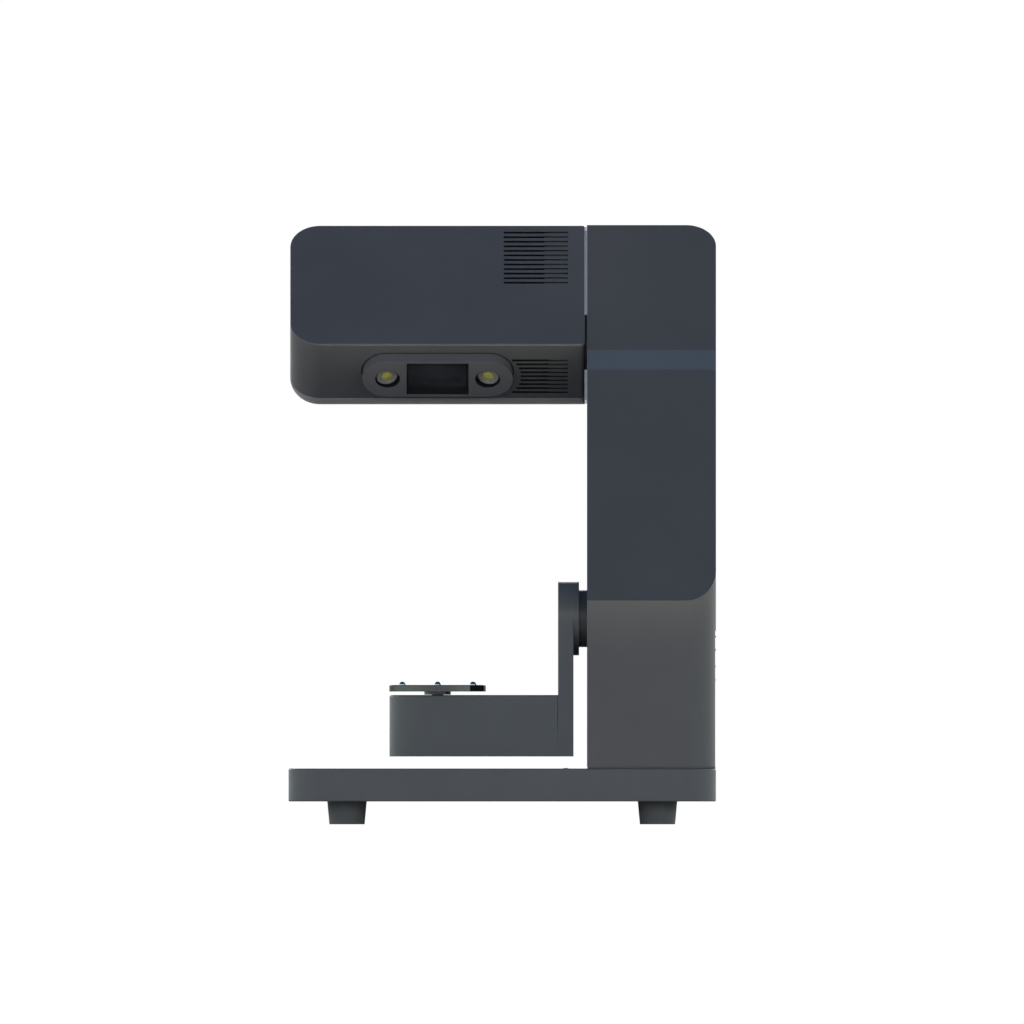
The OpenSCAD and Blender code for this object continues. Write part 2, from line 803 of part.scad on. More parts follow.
module swing_pinion() {
    color([0.70, 0.60, 0.35])
    on_motor_axis() {
        translate([0, 0, gear_x0]) rotate(-90 + 180 / swing_pinion_teeth)
            spur_gear(swing_module, swing_pinion_teeth, gear_t);
        translate([0, 0, gear_x0]) cylinder(r = 2.5, h = bracket_x0 + 13 - gear_x0);
    }
}

module swing_gear() {
    color([0.72, 0.73, 0.75])
    on_swing_axis() translate([0, 0, gear_x0])
    difference() {
        rotate(90) spur_gear(swing_module, swing_teeth, gear_t);
        translate([0, 0, -1]) cylinder(r = shaft_r, h = gear_t + 2);
        for (a = [0:60:300]) rotate(a) translate([14.5, 0, -1]) cylinder(r = 4, h = gear_t + 2);
    }
}

module swing_shaft() {
    color([0.75, 0.76, 0.78])
    on_swing_axis() translate([0, 0, shaft_x0]) cylinder(r = shaft_r, h = shaft_x1 - shaft_x0);
}

module swing_flange() {
    color([0.24, 0.26, 0.28])
    on_swing_axis() translate([0, 0, post_x1 + disc_t]) ring(flange_r, shaft_r, flange_t);
}

module swing_disc() {
    color([0.24, 0.26, 0.28])
    on_swing_axis() translate([0, 0, post_x1]) ring(arm_r, shaft_r, disc_t);
}

// ---- arm ----

arm_screw_spots = [
    [block_x0 + 8, swing_y, arm_low],
    for (x = [pinion_x + 6, post_x0 - 8], s = [-1, 1]) [x, swing_y + s * 17, arm_low]
];

module arm_post() {
    color([0.23, 0.25, 0.27])
    difference() {
        union() {
            on_swing_axis() translate([0, 0, post_x0]) cylinder(r = arm_r, h = post_t);
            translate([post_x0, swing_y - arm_r, arm_low]) cube([post_t, 2 * arm_r, swing_z - arm_low]);
        }
        on_swing_axis() translate([0, 0, shaft_x0]) cylinder(r = shaft_r, h = post_t);
    }
}

// Section of the block, centred on y = 0, with softened upper edges
module block_section(inset, e) {
    r = arm_r - inset;
    difference() {
        translate([-r, arm_low - 1]) square([2 * r, arm_block_h + 1 - inset]);
        translate([-r, block_z1 - inset]) mirror([0, 1]) corner_waste(e);
        translate([r, block_z1 - inset]) rotate(180) corner_waste(e);
    }
}

module block_form(inset, e, x1) {
    x0 = block_x0 + arm_r;
    intersection() {
        union() {
            translate([x0, swing_y, 0]) rotate([90, 0, 90]) linear_extrude(x1 - x0) block_section(inset, e);
            translate([x0, swing_y, 0]) rotate(90) rotate_extrude(angle = 180) intersection() {
                block_section(inset, e);
                square([100, 200]);
            }
        }
        translate([-200, -200, arm_low]) cube([400, 400, 200]);
    }
}

module arm_block() {
    color([0.25, 0.27, 0.28])
    difference() {
        block_form(0, 1.2, post_x0);
        for (drop = [0, 1]) translate([0, 0, -drop]) block_form(arm_wall, 0, post_x0 - arm_wall);
        translate([table_x, swing_y, block_z1 - 10]) cylinder(r = spindle_r + 1.5, h = 20);
        for (s = [-1, 1]) translate([post_x0, swing_y + s * arm_r, arm_low + 17])
            rotate(45) translate([-0.3, -0.3, 0]) cube([0.6, 0.6, 100]);
    }
    color([0.25, 0.27, 0.28])
    difference() {
        for (p = arm_screw_spots) translate([p[0], p[1], p[2] + arm_wall])
            cylinder(r = 3.5, h = arm_block_h - 2 * arm_wall);
        for (p = arm_screw_spots) translate(p) cylinder(r = 1.5, h = 14);
    }
}

module arm_bottom_cover() {
    color([0.18, 0.19, 0.20])
    difference() {
        intersection() {
            block_form(arm_wall + 0.2, 0, post_x0 - arm_wall - 0.2);
            translate([-200, -200, arm_low]) cube([400, 400, arm_wall]);
        }
        for (p = arm_screw_spots) translate(p) mirror([0, 0, 1]) flush_hole(2.8, 1.5, 8);
    }
}

module arm_cover_screws() {
    color([0.55, 0.56, 0.58])
    for (p = arm_screw_spots) translate(p) mirror([0, 0, 1]) flush_screw(2.8, 1.5, 10);
}

// ---- turntable ----

disc_screw_turns = [30, 150, 270];
disc_screw_in = 6;
ball_turns = [90, 210, 330];

module spindle_housing() {
    color([0.66, 0.67, 0.69])
    translate([table_x, swing_y, 0])
    difference() {
        translate([0, 0, low_bearing_z - 1])
            cylinder(r = housing_r, h = block_z1 - arm_wall - low_bearing_z + 1);
        translate([0, 0, low_bearing_z - 2]) cylinder(r = bearing_r, h = bearing_t + 2);
        translate([0, 0, low_bearing_z - 2]) cylinder(r = bearing_r - 2, h = 60);
        translate([0, 0, high_bearing_z]) cylinder(r = bearing_r, h = 30);
    }
}

module turntable_bearings() {
    color([0.75, 0.76, 0.78])
    for (z = [low_bearing_z, high_bearing_z]) translate([table_x, swing_y, z])
        bearing(bearing_r, spindle_r + run_gap, bearing_t);
}

module turntable_spindle() {
    color([0.72, 0.73, 0.75])
    translate([table_x, swing_y, 0]) {
        translate([0, 0, spindle_z0]) cylinder(r = spindle_r, h = disc_z0 - spindle_z0);
        difference() {
            translate([0, 0, block_z1 + 0.2]) cylinder(r = hub_r, h = hub_h - 0.2);
            for (a = disc_screw_turns) rotate(a) translate([disc_screw_in, 0, block_z1])
                cylinder(r = 1, h = 5);
        }
    }
}

module turntable_gear() {
    color([0.72, 0.73, 0.75])
    translate([table_x, swing_y, table_gear_z])
    difference() {
        union() {
            spur_gear(table_module, table_teeth, table_gear_t);
            cylinder(r = 7, h = table_gear_t + 6);
        }
        translate([0, 0, -1]) cylinder(r = spindle_r, h = 20);
    }
}

module turntable_pinion() {
    color([0.70, 0.60, 0.35])
    translate([pinion_x, swing_y, table_gear_z]) {
        rotate(180 + 180 / table_pinion_teeth) spur_gear(table_module, table_pinion_teeth, table_gear_t);
        cylinder(r = 1.5, h = table_gear_t + 12);
    }
}

module turntable_motor_bracket() {
    z0 = table_gear_z + table_gear_t + 1;
    x1 = post_x0 - arm_wall - 0.5;
    color([0.60, 0.61, 0.63])
    difference() {
        union() {
            translate([pinion_x - 12, swing_y - 10, z0]) cube([x1 - pinion_x + 12, 20, 1.5]);
            translate([x1 - 2, swing_y - 10, z0]) cube([2, 20, block_z1 - arm_wall - z0]);
        }
        translate([pinion_x, swing_y, z0 - 1]) cylinder(r = 2.5, h = 5);
    }
}

module turntable_motor() {
    z0 = table_gear_z + table_gear_t + 2.5;
    color([0.62, 0.63, 0.65])
    translate([pinion_x, swing_y, z0])
    difference() {
        cylinder(r = 12, h = 18);
        translate([0, 0, -1]) cylinder(r = 1.5 + run_gap, h = 13);
    }
}

module turntable_disc() {
    chamfer = 0.4;
    color([0.25, 0.27, 0.28])
    translate([table_x, swing_y, disc_z0])
    difference() {
        rotate_extrude() polygon([
            [0, 0], [table_r, 0], [table_r, table_t - chamfer], [table_r - chamfer, table_t], [0, table_t]
        ]);
        for (a = ball_turns) rotate(a) translate([ball_circle_r, 0, ball_seat]) sphere(r = ball_r);
        for (a = disc_screw_turns) rotate(a) translate([disc_screw_in, 0, table_t]) flush_hole(2, 1, 8);
    }
}

module turntable_screws() {
    color([0.55, 0.56, 0.58])
    translate([table_x, swing_y, disc_z0 + table_t])
    for (a = disc_screw_turns) rotate(a) translate([disc_screw_in, 0, 0]) flush_screw(2, 1, 6);
}

module locating_balls() {
    color([0.72, 0.75, 0.78])
    translate([table_x, swing_y, disc_z0])
    for (a = ball_turns) rotate(a) translate([ball_circle_r, 0, ball_seat]) sphere(r = ball_r);
}

// ---- head ----

head_screw_spots = [
    [head_x0 + 16, 16], [head_x0 + 16, head_len - 16], [head_x0 + 97, head_len - 15],
    [head_x1 - 10, 15], [head_x1 - 10, head_len - 15]
];

// Outline of the head on its broad face, drawn in by an inset
module head_plan(inset) {
    big = corner_r - inset;
    small = max(0, head_small_r - inset);
    rounded_rect([head_x0 + inset, head_x1 - inset], [inset, head_len - inset], [big, small, small, big]);
}

// Outer form of the head, with soft edges round its front and back
module head_form() {
    intersection() {
        soft_box([head_x0, head_x1 + 2 * corner_r], [0, head_len], [-head_t, 0], corner_r,
            rear_edge_r, front_edge_r);
        translate([0, 0, -head_t]) linear_extrude(head_t) head_plan(0);
    }
}

module top_slots() {
    for (i = [0:top_slots - 1]) {
        y = vent_top_y - i * top_pitch - slot_w / 2;
        translate([vent_x0, y, -head_wall - 1]) cube([vent_split_x - vent_x0, slot_w, head_wall + 2]);
        translate([vent_split_x - 1, y, -blind_depth]) cube([vent_x1 - vent_split_x + 1, slot_w, 2]);
    }
}

module low_slots() {
    middle = vent_low_in + (low_slots - 1) / 2 * low_pitch;
    for (i = [0:low_slots - 1]) {
        z = -vent_low_in - i * low_pitch;
        x0 = optic_x + camera_gap / 2 + sqrt(pow(vent_arc_r, 2) - pow(z + middle, 2));
        translate([x0, -1, z - slot_w / 2]) cube([low_split_x - x0, head_wall + 2, slot_w]);
        translate([low_split_x - 1, -1, z - slot_w / 2])
            cube([vent_x1 - low_split_x + 1, blind_depth + 1, slot_w]);
    }
}

module head_front_cover() {
    color([0.21, 0.24, 0.29])
    leaning() {
        difference() {
            intersection() {
                head_form();
                translate([-300, -100, -head_split]) cube([600, 400, 100]);
            }
            translate([0, 0, -head_t - 1]) linear_extrude(head_t + 1 - head_wall) head_plan(head_wall);
            top_slots();
            low_slots();
            translate([optic_x, 0, -optic_drop]) rotate([90, 0, 0]) linear_extrude(20, center = true)
                stadium(camera_gap, bezel_r + bezel_gap);
            neck_hole(head_x1 - head_wall, head_wall);
        }
        difference() {
            for (p = head_screw_spots) translate([p[0], p[1], -head_t + head_wall + 0.2])
                cylinder(r = 3.5, h = head_t - 2 * head_wall - 0.2);
            for (p = head_screw_spots) translate([p[0], p[1], -head_t]) cylinder(r = 1.5, h = 14);
        }
    }
}

module head_rear_cover() {
    rows = 10;
    color([0.27, 0.28, 0.29])
    leaning()
    difference() {
        intersection() {
            head_form();
            translate([-300, -100, -head_t - 1]) cube([600, 400, head_t + 1 - head_split - 0.3]);
        }
        translate([0, 0, -head_t + head_wall]) linear_extrude(head_t)
            rounded_rect([head_x0 + 8, head_x1 - head_wall], [8, head_len - 8], [12, 1, 1, 12]);
        neck_hole(head_x1 - head_wall, head_wall);
        for (p = head_screw_spots) translate([p[0], p[1], -head_t]) mirror([0, 0, 1])
            flush_hole(2.8, 1.6, 20);
        for (i = [0:rows - 1]) translate([head_x0 + 60, 32 + 5 * i, -head_t])
            linear_extrude(10, center = true) stadium(38, slot_w / 2);
        for (i = [0:rows - 1]) translate([head_x0 + 136, 32 + 5 * i, -head_t])
            linear_extrude(10, center = true) stadium(38, slot_w / 2);
    }
}

module head_cover_screws() {
    color([0.55, 0.56, 0.58])
    leaning() for (p = head_screw_spots) translate([p[0], p[1], -head_t])
        mirror([0, 0, 1]) flush_screw(2.8, 1.5, 10);
}

// ---- neck, optics and fan ----

module neck() {
    color([0.12, 0.14, 0.17])
    leaning() translate([0, neck_up, -neck_in]) rotate([0, 90, 0])
    difference() {
        union() {
            translate([0, 0, neck_x0 - neck_flange_t]) cylinder(r = neck_flange_r, h = neck_flange_t);
            translate([0, 0, neck_x0]) cylinder(r = neck_r, h = frame_x0 - neck_x0);
        }
        translate([0, 0, neck_x0 - 10]) cylinder(r = neck_bore_r, h = 30);
        for (a = [45:90:315]) rotate(a) translate([21.5, 0, neck_x0 - 10]) cylinder(r = 1.5, h = 20);
    }
}

module optics_frame() {
    end_x1 = neck_x0 - neck_flange_t;
    color([0.60, 0.61, 0.63])
    difference() {
        union() {
            leaning() translate([head_x0 + 44, rail_in, -58]) cube([end_x1 - head_x0 - 44, rail_t, 53]);
            leaning() translate([end_x1 - rail_t, 21, -58]) cube([rail_t, 41, 50]);
            for (side = [-1, 1]) on_camera(side) translate([0, 0, -camera_back - 8]) cylinder(r = 6, h = 8);
        }
        leaning() translate([end_x1 - 10, neck_up, -neck_in]) rotate([0, 90, 0])
            cylinder(r = neck_bore_r, h = 20);
    }
}

module optics_bezel() {
    color([0.20, 0.21, 0.22])
    on_lower_wall()
    difference() {
        union() {
            translate([0, 0, -bezel_back]) linear_extrude(bezel_back + bezel_h)
                stadium(camera_gap, bezel_r);
            translate([0, 0, -bezel_back]) linear_extrude(bezel_back - head_wall - 0.1)
                stadium(camera_gap, bezel_r + bezel_gap + 1);
        }
        hull() {
            translate([0, 0, bezel_h]) cube([window_w + 1, window_h, 0.02], center = true);
            translate([0, 0, bezel_h - window_depth])
                cube([window_w - 1, window_h - 2, 0.02], center = true);
        }
        translate([0, 0, bezel_h - window_depth - window_t / 2])
            cube([window_w - 1, window_h - 2, window_t], center = true);
        cube([window_w - 6, window_h - 7, 30], center = true);
        for (side = [-1, 1]) translate([side * camera_gap / 2, 0, bezel_h - barrel_sink])
            rotate([0, -side * toe_in, 0]) translate([0, 0, -20]) cylinder(r = lens_hole_r, h = 40);
    }
}

module projector_window() {
    color([0.09, 0.10, 0.12])
    on_lower_wall() translate([0, 0, bezel_h - window_depth - window_t / 2])
        cube([window_w - 1.2, window_h - 2.2, window_t], center = true);
}

module projector() {
    depth = rail_in - 8;
    fins = 7;
    color([0.14, 0.14, 0.15])
    on_lower_wall() {
        difference() {
            union() {
                translate([-19, -14, -rail_in]) cube([38, 28, depth]);
                translate([0, 0, -8]) cylinder(r = 9, h = 6);
                for (i = [0:fins - 1]) translate([-16, 14, -rail_in + 2 + 4 * i]) cube([32, 4, 1.4]);
            }
            translate([0, 0, -5]) cylinder(r = 7, h = 10);
        }
    }
}

module camera(side) {
    half = camera_size / 2;
    color([0.10, 0.11, 0.12])
    on_camera(side) {
        translate([-half, -half, -camera_back]) cube([camera_size, camera_size, camera_back - barrel_len]);
        translate([0, 0, -barrel_len]) ring(9.5, barrel_r, 5);
    }
}

module camera_left() { camera(-1); }
module camera_right() { camera(1); }

module lens_barrels() {
    color([0.36, 0.35, 0.37])
    for (side = [-1, 1]) on_camera(side) rotate_extrude() polygon([
        [glass_r - 0.9, -barrel_len], [barrel_r, -barrel_len], [barrel_r, -0.5], [barrel_r - 0.5, 0],
        [glass_r + 1.3, 0], [glass_r, -0.9], [glass_r, -0.9 - glass_h], [glass_r - 0.9, -0.9 - glass_h]
    ]);
}

module lens_glasses() {
    dome_r = 10.7;
    color([0.55, 0.60, 0.15])
    for (side = [-1, 1]) on_camera(side) intersection() {
        translate([0, 0, -0.9 - glass_h]) cylinder(r = glass_r, h = 5);
        translate([0, 0, -0.2 - dome_r]) sphere(r = dome_r);
    }
}

module on_fan() {
    leaning() translate([fan_x, fan_y, -fan_top - fan_t]) children();
}

module fan_frame() {
    color([0.07, 0.07, 0.08])
    on_fan()
    difference() {
        union() {
            difference() {
                translate([-fan_size / 2, -fan_size / 2, 0]) cube([fan_size, fan_size, fan_t]);
                translate([0, 0, -1]) cylinder(r = fan_bore_r, h = fan_t + 2);
            }
            cylinder(r = fan_hub_r, h = spoke_t);
            for (a = [0:120:240]) rotate(a) translate([0, -1.5, 0]) cube([fan_bore_r + 0.5, 3, spoke_t]);
        }
        translate([0, 0, -1]) cylinder(r = 1.5 + run_gap, h = 5);
        for (sx = [-1, 1], sy = [-1, 1]) translate([sx * 16, sy * 16, -1]) cylinder(r = 1.7, h = fan_t + 2);
    }
}

module fan_rotor() {
    z0 = spoke_t + 0.3;
    z1 = fan_t - 1;
    tip_r = fan_bore_r - 0.6;
    color([0.12, 0.12, 0.13])
    on_fan() {
        translate([0, 0, 0.2]) cylinder(r = 1.5, h = z0 - 0.2);
        translate([0, 0, z0]) cylinder(r = fan_hub_r, h = z1 - z0);
        intersection() {
            translate([0, 0, z0 + 0.2]) ring(tip_r, fan_hub_r - 0.5, z1 - z0 - 0.4);
            for (i = [0:fan_blades - 1]) rotate(i * 360 / fan_blades)
                translate([fan_hub_r - 1, 0, (z0 + z1) / 2]) rotate([50, 0, 0])
                translate([0, -6.5, -0.6]) cube([tip_r, 13, 1.2]);
        }
    }
}

base_plate();
base_bottom_cover();
base_screws();
home_sensor();
foot_front_left();
foot_front_right();
foot_rear_left();
foot_rear_right();
column_gasket();
column_lower_housing();
column_upper_housing();
accent_band();
column_service_cover();
column_back_panel();
column_screws();
side_panel();
side_panel_screws();
dc_inlet();
usb_port();
power_switch();
power_button();
control_board();
column_frame();
drive_bracket();
swing_bearing_housing();
swing_bearings();
swing_motor();
swing_pinion();
swing_gear();
swing_shaft();
swing_flange();
swing_disc();
arm_post();
arm_block();
arm_bottom_cover();
arm_cover_screws();
turntable_motor();
turntable_motor_bracket();
turntable_pinion();
turntable_gear();
spindle_housing();
turntable_bearings();
turntable_spindle();
turntable_disc();
turntable_screws();
locating_balls();
neck();
head_front_cover();
head_rear_cover();
head_cover_screws();
optics_frame();
optics_bezel();
projector_window();
projector();
camera_left();
camera_right();
lens_barrels();
lens_glasses();
fan_frame();
fan_rotor();
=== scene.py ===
import json
import math

import bmesh
import bpy
from mathutils import Matrix, Vector


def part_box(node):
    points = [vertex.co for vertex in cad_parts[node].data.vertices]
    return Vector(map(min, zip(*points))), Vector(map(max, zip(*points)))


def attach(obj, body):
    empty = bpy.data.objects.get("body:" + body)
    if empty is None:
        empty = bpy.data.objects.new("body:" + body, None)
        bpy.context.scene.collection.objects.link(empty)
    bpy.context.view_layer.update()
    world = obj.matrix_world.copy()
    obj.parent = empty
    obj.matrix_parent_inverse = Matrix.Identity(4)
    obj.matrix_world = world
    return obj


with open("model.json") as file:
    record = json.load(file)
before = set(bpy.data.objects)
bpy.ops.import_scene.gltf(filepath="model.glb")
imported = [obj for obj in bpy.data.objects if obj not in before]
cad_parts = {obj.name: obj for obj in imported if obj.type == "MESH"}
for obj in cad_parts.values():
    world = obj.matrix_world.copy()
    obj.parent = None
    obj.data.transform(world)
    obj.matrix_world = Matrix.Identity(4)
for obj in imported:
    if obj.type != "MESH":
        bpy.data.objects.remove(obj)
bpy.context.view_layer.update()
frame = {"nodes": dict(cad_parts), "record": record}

NODES = frame["nodes"]
MM = 0.001

# Camera: the view is square on to the front, with no perspective
VIEW_CENTRE = (6.5 * MM, 208.2 * MM)
VIEW_SPAN = 682.7 * MM
VIEW_DISTANCE = 2.0

# The head's tilt and the angle by which each camera turns in
TILT = math.radians(45)
TOE_IN = math.radians(8.7)


# ---------------------------------------------------------------- shapes

def centre_of(node):
    low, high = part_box(node)
    return (low + high) / 2


def half_of(node, side):
    """The points of a node that lie left (-1) or right (1) of its middle."""
    middle = centre_of(node).x
    return [v.co for v in NODES[node].data.vertices if (v.co.x - middle) * side > 0]


def corners_of(points):
    """Low and high corners of the box round some points."""
    low = Vector([min(p[i] for p in points) for i in range(3)])
    high = Vector([max(p[i] for p in points) for i in range(3)])
    return low, high


def extent(node, place):
    """Low and high corners of a node in a turned frame."""
    inverse = place.inverted()
    return corners_of([inverse @ v.co for v in NODES[node].data.vertices])


def add_piece(name, form, place, body, material):
    """Turns a bmesh into a smooth-shaded piece that rides on a body."""
    mesh = bpy.data.meshes.new(name)
    bmesh.ops.recalc_face_normals(form, faces=form.faces)
    form.to_mesh(mesh)
    form.free()
    mesh.shade_smooth()
    mesh.set_sharp_from_angle(angle=math.radians(32))
    mesh.transform(place)
    mesh.materials.append(material)
    piece = bpy.data.objects.new(name, mesh)
    bpy.context.scene.collection.objects.link(piece)
    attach(piece, body)


def lathe(profile, steps=72):
    """Turns a closed outline of (radius, height) points in mm about Z. A point on the axis has radius 0."""
    form = bmesh.new()
    turns = [2 * math.pi * i / steps for i in range(steps)]
    rings = []
    for radius, height in profile:
        if radius == 0:
            rings.append([form.verts.new((0, 0, height * MM))])
            continue
        ring = [(radius * MM * math.cos(t), radius * MM * math.sin(t), height * MM) for t in turns]
        rings.append([form.verts.new(point) for point in ring])
    for a, b in zip(rings, rings[1:] + rings[:1]):
        if len(a) == 1 and len(b) == 1:
            continue
        for i in range(steps):
            j = (i + 1) % steps
            corners = [a[i % len(a)], a[j % len(a)], b[j % len(b)], b[i % len(b)]]
            form.faces.new(list(dict.fromkeys(corners)))
    return form


def dome(radius, sag, rows=8):
    """Outline of a lens front: from the axis to its rim along a sphere that rises by sag, in mm."""
    sphere = (radius ** 2 + sag ** 2) / (2 * sag)
    reach = math.asin(radius / sphere)
    angles = [reach * i / rows for i in range(rows + 1)]
    return [(sphere * math.sin(a), sphere * math.cos(a) - sphere + sag) for a in angles]


def rounded_block(size, radius):
    """A block in mm with all its edges rounded."""
    form = bmesh.new()
    bmesh.ops.create_cube(form, size=1)
    bmesh.ops.scale(form, vec=Vector(size) * MM, verts=form.verts)
    bmesh.ops.bevel(form, geom=form.edges[:], offset=radius * MM, segments=3, profile=0.5, affect="EDGES")
    return form


def bridge(form, rows):
    """Joins closed rows of vertices into a skin, from each row to the next and from the last to the first."""
    for a, b in zip(rows, rows[1:] + rows[:1]):
        for i in range(len(a)):
            j = (i + 1) % len(a)
            form.faces.new((a[i], a[j], b[j], b[i]))


def sleeve(form, centre, base, mouth, heights, thick):
    """Adds a four-sided sleeve in metres: its centre, its half sizes at both ends, and its ends' heights."""
    thinner = [(half[0] - thick, half[1] - thick) for half in (mouth, base)]
    sizes = [(base, heights[0]), (mouth, heights[1]), (thinner[0], heights[1]), (thinner[1], heights[0])]
    corners = ((-1, -1), (1, -1), (1, 1), (-1, 1))
    rows = []
    for (half_x, half_y), z in sizes:
        points = [(centre[0] + sx * half_x, centre[1] + sy * half_y, z) for sx, sy in corners]
        rows.append([form.verts.new(point) for point in points])
    bridge(form, rows)


def facing(place, *turns):
    """A matrix at a place, turned by (angle, axis) pairs in order."""
    matrix = Matrix.Translation(place)
    for angle, axis in turns:
        matrix = matrix @ Matrix.Rotation(angle, 4, axis)
    return matrix


# ---------------------------------------------------------------- materials

class Graph:
    """A material's node tree, built one node at a time. An input takes a value or another node's output."""

    def __init__(self, name):
        self.material = bpy.data.materials.new(name)
        self.material.use_nodes = True
        self.tree = self.material.node_tree
        self.tree.nodes.clear()

    def add(self, kind, inputs=(), **settings):
        node = self.tree.nodes.new("ShaderNode" + kind)
        for key, value in settings.items():
            setattr(node, key, value)
        for key, value in dict(inputs).items():
            self.feed(node.inputs[key], value)
        return node

    def feed(self, socket, value):
        if isinstance(value, bpy.types.NodeSocket):
            self.tree.links.new(value, socket)
        elif socket.type == "RGBA" and len(value) == 3:
            socket.default_value = (*value, 1.0)
        else:
            socket.default_value = value

    def place(self):
        return self.add("TexCoord").outputs["Object"]

    def noise(self, scale, detail=2.0, rough=0.5, vector=None):
        inputs = {"Vector": vector or self.place(), "Scale": scale, "Detail": detail, "Roughness": rough}
        return self.add("TexNoise", inputs).outputs["Fac"]

    def span(self, value, low, high, new_low, new_high):
        inputs = {"Value": value, "From Min": low, "From Max": high, "To Min": new_low, "To Max": new_high}
        return self.add("MapRange", inputs).outputs["Result"]

    def math(self, operation, a, b):
        node = self.add("Math", operation=operation)
        self.feed(node.inputs[0], a)
        self.feed(node.inputs[1], b)
        return node.outputs[0]

    def mix(self, fac, a, b):
        node = self.add("Mix", data_type="RGBA")
        self.feed(node.inputs["Factor"], fac)
        self.feed(node.inputs[6], a)
        self.feed(node.inputs[7], b)
        return node.outputs[2]

    def soft_normal(self, radius):
        return self.add("Bevel", {"Radius": radius}, samples=4).outputs["Normal"]

    def edge_mask(self, soft):
        """1 along an edge and 0 on a flat, from how far the softened normal turns away."""
        flat = self.add("NewGeometry").outputs["Normal"]
        node = self.add("VectorMath", operation="DOT_PRODUCT")
        self.feed(node.inputs[0], soft)
        self.feed(node.inputs[1], flat)
        return self.span(node.outputs["Value"], 0.96, 0.80, 0.0, 1.0)

    def bump(self, height, strength, depth, normal=None):
        inputs = {"Height": height, "Strength": strength, "Distance": depth}
        if normal is not None:
            inputs["Normal"] = normal
        return self.add("Bump", inputs).outputs["Normal"]

    def surface(self, **inputs):
        shader = self.add("BsdfPrincipled", {k.replace("_", " "): v for k, v in inputs.items()})
        self.finish(shader.outputs["BSDF"])
        return self.material

    def finish(self, shader):
        output = self.add("OutputMaterial")
        self.tree.links.new(shader, output.inputs["Surface"])
        return self.material


def scaled(colour, factor):
    return tuple(c * factor for c in colour)


def moulded(name, colour, rough=0.42, metal=0.0, grain=1500.0, relief=0.12, edge_wear_and_highlight=0.35, edge=0.45 * MM):
    """A textured housing: fine spark-eroded grain, slight colour drift, polished spots, and lighter edges
    that are partly rubbed wear and partly a painted highlight.
    """
    g = Graph(name)
    soft = g.soft_normal(edge)
    fine = g.noise(grain, 3.0, 0.6)
    drift = g.noise(14.0, 3.0, 0.55)
    touch = g.noise(46.0, 4.0, 0.62)
    rim = g.math("MULTIPLY", g.edge_mask(soft), g.span(touch, 0.35, 0.65, 0.3, 1.0))
    body = g.mix(g.span(drift, 0.3, 0.7, 0.0, 1.0), scaled(colour, 0.94), scaled(colour, 1.06))
    body = g.mix(g.span(fine, 0.35, 0.65, 0.0, 0.25), body, scaled(colour, 0.8))
    # Lighter edges: partly rubbed wear, partly a painted highlight
    body = g.mix(g.math("MULTIPLY", rim, edge_wear_and_highlight), body, scaled(colour, 2.2))
    shine = g.span(touch, 0.3, 0.7, rough - 0.05, rough + 0.05)
    shine = g.math("SUBTRACT", shine, g.math("MULTIPLY", rim, 0.08))
    return g.surface(Base_Color=body, Metallic=metal, Roughness=shine, Specular_IOR_Level=0.28,
                     Normal=g.bump(fine, relief, 0.06 * MM, soft))


def milled(name, colour, rough=0.3, stretch=(1, 1, 60), relief=0.05, metal=1.0):
    """Machined or brushed metal, with fine lines along one axis."""
    g = Graph(name)
    soft = g.soft_normal(0.3 * MM)
    lines = g.add("Mapping", {"Vector": g.place(), "Scale": stretch}).outputs["Vector"]
    brushed = g.noise(60.0, 5.0, 0.7, lines)
    stain = g.noise(35.0, 3.0, 0.6)
    body = g.mix(g.span(brushed, 0.3, 0.7, 0.0, 1.0), scaled(colour, 0.85), scaled(colour, 1.12))
    body = g.mix(g.span(stain, 0.45, 0.75, 0.0, 0.3), body, scaled(colour, 0.7))
    body = g.mix(g.math("MULTIPLY", g.edge_mask(soft), 0.25), body, scaled(colour, 1.5))
    shine = g.span(brushed, 0.3, 0.7, rough - 0.06, rough + 0.08)
    return g.surface(Base_Color=body, Metallic=metal, Roughness=shine,
                     Normal=g.bump(brushed, relief, 0.04 * MM, soft))


def turned(name, colour, centre, rough):
    """Metal turned on a lathe about a vertical axis through centre: fine rings on its faces."""
    pitch = 0.35 * MM
    g = Graph(name)
    soft = g.soft_normal(0.25 * MM)
    away = g.add("VectorMath", operation="SUBTRACT")
    g.feed(away.inputs[0], g.place())
    g.feed(away.inputs[1], centre)
    flat = g.add("VectorMath", operation="MULTIPLY")
    g.feed(flat.inputs[0], away.outputs[0])
    g.feed(flat.inputs[1], (1.0, 1.0, 0.0))
    radius = g.add("VectorMath", operation="LENGTH")
    g.feed(radius.inputs[0], flat.outputs[0])
    rings = g.math("SINE", g.math("MULTIPLY", radius.outputs["Value"], 2 * math.pi / pitch), 0.0)
    drift = g.noise(30.0, 3.0, 0.6)
    body = g.mix(g.span(rings, -1.0, 1.0, 0.0, 1.0), scaled(colour, 0.9), scaled(colour, 1.08))
    body = g.mix(g.span(drift, 0.4, 0.7, 0.0, 0.4), body, scaled(colour, 0.8))
    body = g.mix(g.math("MULTIPLY", g.edge_mask(soft), 0.2), body, scaled(colour, 1.6))
    shine = g.span(drift, 0.3, 0.7, rough - 0.04, rough + 0.06)
    return g.surface(Base_Color=body, Metallic=1.0, Roughness=shine, Specular_Tint=(0.45, 0.45, 0.45, 1.0),
                     Normal=g.bump(rings, 0.05, 0.02 * MM, soft))


